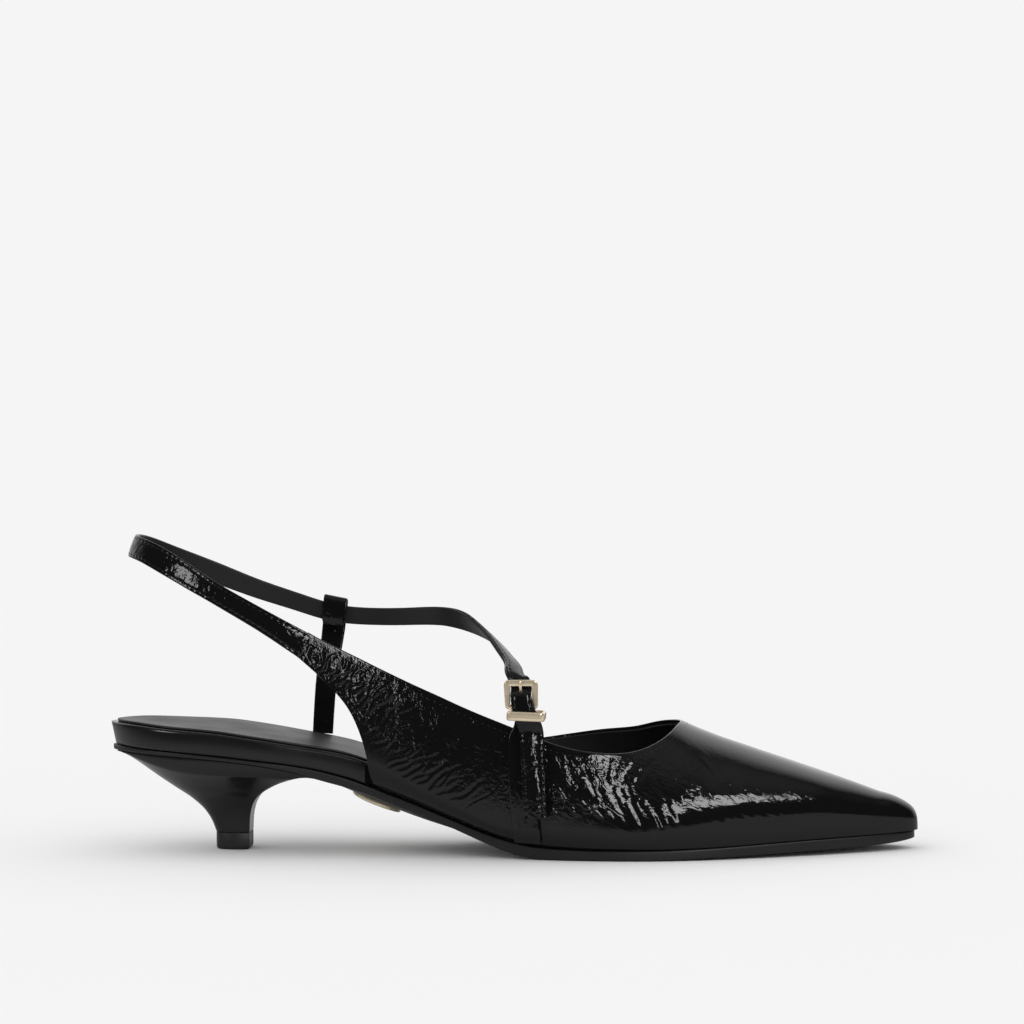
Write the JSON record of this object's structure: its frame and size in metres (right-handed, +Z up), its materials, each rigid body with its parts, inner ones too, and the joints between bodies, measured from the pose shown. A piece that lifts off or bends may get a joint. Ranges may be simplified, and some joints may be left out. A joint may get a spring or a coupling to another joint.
{
  "type": "slingback pump",
  "caption": "Kitten-heel slingback pump with a pointed closed toe, a cut-away inner side, a strap round the heel and across the instep, and a buckle on the outer side.",
  "frame": {"origin": "centre of the bounding box, at the floor under the heel tip and the forefoot", "axes": "+X to the toe, +Z up, +Y to the inner (medial) side of this right shoe"},
  "size_m": [0.2716, 0.0752, 0.1063],
  "materials": {
    "patent_leather": "crinkled black patent, glossy",
    "smooth_leather": "smooth black, soft sheen",
    "insole_cover": "smooth black, semi-gloss",
    "sock_lining": "matte black lining leather",
    "heel_cover": "smooth black, semi-gloss",
    "outsole": "black sole leather, satin edge",
    "heel_rubber": "black, matte",
    "pale_gold": "polished pale gold"
  },
  "bodies": {
    "root": {"outsole": "outsole", "insole": "insole_cover", "sock_lining": "sock_lining", "upper": "patent_leather", "sling_strap": "patent_leather", "side_stay": "smooth_leather", "buckle_stay": "patent_leather", "buckle_frame": "pale_gold", "buckle_prong": "pale_gold", "buckle_keeper": "pale_gold", "heel": "heel_cover", "top_piece": "heel_rubber", "sole_plaque": "pale_gold"}
  },
  "joints": []
}
